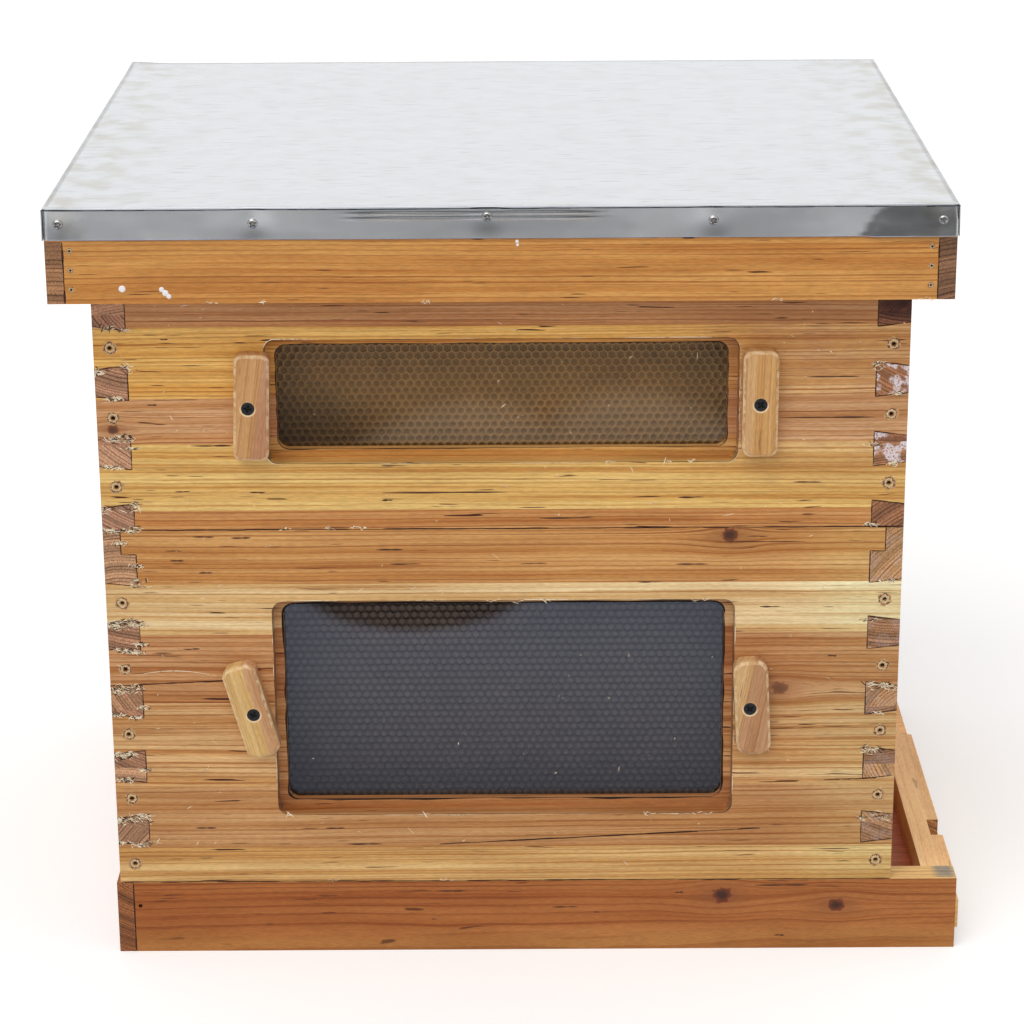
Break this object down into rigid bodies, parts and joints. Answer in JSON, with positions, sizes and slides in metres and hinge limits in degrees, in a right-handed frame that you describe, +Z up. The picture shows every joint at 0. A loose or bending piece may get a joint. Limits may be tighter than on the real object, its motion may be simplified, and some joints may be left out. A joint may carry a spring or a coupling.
{
  "type": "beehive",
  "caption": "Dovetailed wooden hive with a deep and a medium box, observation windows with turn buttons, hanging frames, bottom board with entrance reducer and a metal-clad telescoping cover.",
  "frame": {"origin": "on the ground under the middle of the hive's bounding box", "axes": "+Z up, +X towards the entrance along the long side, -Y the side with the windows"},
  "size_m": [0.577, 0.4712, 0.5087],
  "materials": {
    "box_fir": "wax-dipped fir, satin",
    "bottom_fir": "wax-dipped fir, satin",
    "cover_fir": "wax-dipped fir, satin",
    "inner_cover_wood": "wax-dipped fir and thin board",
    "frame_wood": "planed bare pine",
    "button_wood": "sanded hardwood, waxed",
    "clear_pane": "clear acrylic, polished",
    "brood_foundation": "moulded cells, thin wax coat",
    "super_foundation": "moulded cells, thin wax coat",
    "galvanised_sheet": "galvanised, dull",
    "bright_screw": "zinc plated",
    "black_screw": "black phosphate",
    "nail_steel": "plain drawn wire"
  },
  "bodies": {
    "bottom_board": {"floor_board": "bottom_fir", "rail_near": "bottom_fir", "rail_far": "bottom_fir", "back_cleat": "bottom_fir", "rail_nails": "nail_steel"},
    "entrance_reducer": {"entrance_reducer": "bottom_fir"},
    "brood_box": {"brood_side_near": "box_fir", "brood_side_far": "box_fir", "brood_end_front": "box_fir", "brood_end_back": "box_fir", "brood_window_pane": "clear_pane", "brood_corner_nails": "nail_steel", "brood_button_screws": "black_screw"},
    "brood_button_left": {"brood_button_left": "button_wood"},
    "brood_button_right": {"brood_button_right": "button_wood"},
    "brood_frames": {"brood_frame_01": "frame_wood", "brood_frame_02": "frame_wood", "brood_frame_03": "frame_wood", "brood_frame_04": "frame_wood", "brood_frame_05": "frame_wood", "brood_frame_06": "frame_wood", "brood_frame_07": "frame_wood", "brood_frame_08": "frame_wood", "brood_frame_09": "frame_wood", "brood_frame_10": "frame_wood", "brood_foundation": "brood_foundation"},
    "super_box": {"super_side_near": "box_fir", "super_side_far": "box_fir", "super_end_front": "box_fir", "super_end_back": "box_fir", "super_window_pane": "clear_pane", "super_corner_nails": "nail_steel", "super_button_screws": "black_screw"},
    "super_button_left": {"super_button_left": "button_wood"},
    "super_button_right": {"super_button_right": "button_wood"},
    "super_frames": {"super_frame_01": "frame_wood", "super_frame_02": "frame_wood", "super_frame_03": "frame_wood", "super_frame_04": "frame_wood", "super_frame_05": "frame_wood", "super_frame_06": "frame_wood", "super_frame_07": "frame_wood", "super_frame_08": "frame_wood", "super_frame_09": "frame_wood", "super_frame_10": "frame_wood", "super_foundation": "super_foundation"},
    "inner_cover": {"inner_cover_panel": "clear_pane", "inner_rim_near": "inner_cover_wood", "inner_rim_far": "inner_cover_wood", "inner_rim_front": "inner_cover_wood", "inner_rim_back": "inner_cover_wood"},
    "outer_cover": {"cover_rim_near": "cover_fir", "cover_rim_far": "cover_fir", "cover_rim_front": "cover_fir", "cover_rim_back": "cover_fir", "cover_brads": "nail_steel", "cover_panel": "clear_pane", "cover_sheet": "galvanised_sheet", "cover_screws": "bright_screw"}
  },
  "joints": [
    {"name": "brood_box_lift", "type": "slide", "parent": "bottom_board", "child": "brood_box", "axis": [0, 0, 1], "range_m": [0, 0.15]},
    {"name": "brood_frames_lift", "type": "slide", "parent": "brood_box", "child": "brood_frames", "axis": [0, 0, 1], "range_m": [0, 0.26]},
    {"name": "super_box_lift", "type": "slide", "parent": "brood_frames", "child": "super_box", "axis": [0, 0, 1], "range_m": [0, 0.15]},
    {"name": "super_frames_lift", "type": "slide", "parent": "super_box", "child": "super_frames", "axis": [0, 0, 1], "range_m": [0, 0.19]},
    {"name": "inner_cover_lift", "type": "slide", "parent": "super_frames", "child": "inner_cover", "axis": [0, 0, 1], "range_m": [0, 0.1]},
    {"name": "outer_cover_lift", "type": "slide", "parent": "inner_cover", "child": "outer_cover", "axis": [0, 0, 1], "range_m": [0, 0.15]},
    {"name": "reducer_slide", "type": "slide", "parent": "bottom_board", "child": "entrance_reducer", "axis": [1, 0, 0], "range_m": [-0.0435, 0.03]},
    {"name": "brood_button_left_turn", "type": "hinge", "parent": "brood_box", "child": "brood_button_left", "pos_m": [-0.17125, -0.2065, 0.17325], "axis": [0, -1, 0], "continuous": true},
    {"name": "brood_button_right_turn", "type": "hinge", "parent": "brood_box", "child": "brood_button_right", "pos_m": [0.14625, -0.2065, 0.17565], "axis": [0, -1, 0], "continuous": true},
    {"name": "super_button_left_turn", "type": "hinge", "parent": "super_box", "child": "super_button_left", "pos_m": [-0.16815, -0.2065, 0.37795], "axis": [0, -1, 0], "continuous": true},
    {"name": "super_button_right_turn", "type": "hinge", "parent": "super_box", "child": "super_button_right", "pos_m": [0.14905, -0.2065, 0.37865], "axis": [0, -1, 0], "continuous": true}
  ]
}
